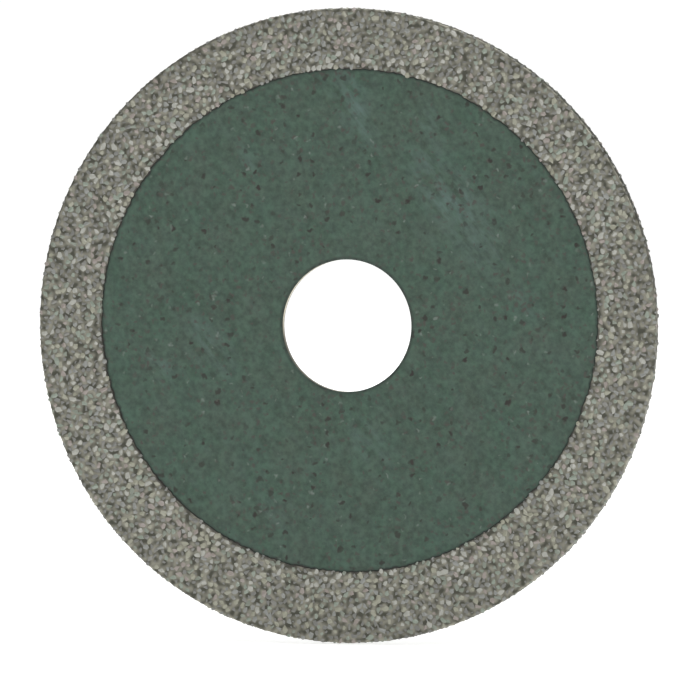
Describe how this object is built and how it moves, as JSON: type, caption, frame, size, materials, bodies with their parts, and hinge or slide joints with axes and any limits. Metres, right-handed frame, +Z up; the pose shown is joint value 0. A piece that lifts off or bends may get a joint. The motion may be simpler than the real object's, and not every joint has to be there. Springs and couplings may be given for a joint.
{
  "type": "diamond blade",
  "caption": "Thin round cutting disc with a plated ring of diamond grit at the rim, green enamelled faces and a plain arbor hole.",
  "frame": {"origin": "centre of the arbor hole, half way through the steel core", "axes": "+Y along the blade's axis, from its front to its back, so the front looks towards -Y; +Z up, with the blade upright on its rim; +X to the right as seen from the front"},
  "size_m": [0.107, 0.0022, 0.107],
  "materials": {
    "ground_steel": "satin",
    "green_enamel": "matte",
    "nickel_plate": "satin",
    "diamond_grit": "satin"
  },
  "bodies": {
    "root": {"steel_core": "ground_steel", "front_enamel": "green_enamel", "back_enamel": "green_enamel", "front_nickel_bond": "nickel_plate", "edge_nickel_bond": "nickel_plate", "back_nickel_bond": "nickel_plate", "front_diamond_grit": "diamond_grit", "edge_diamond_grit": "diamond_grit", "back_diamond_grit": "diamond_grit"}
  },
  "joints": []
}
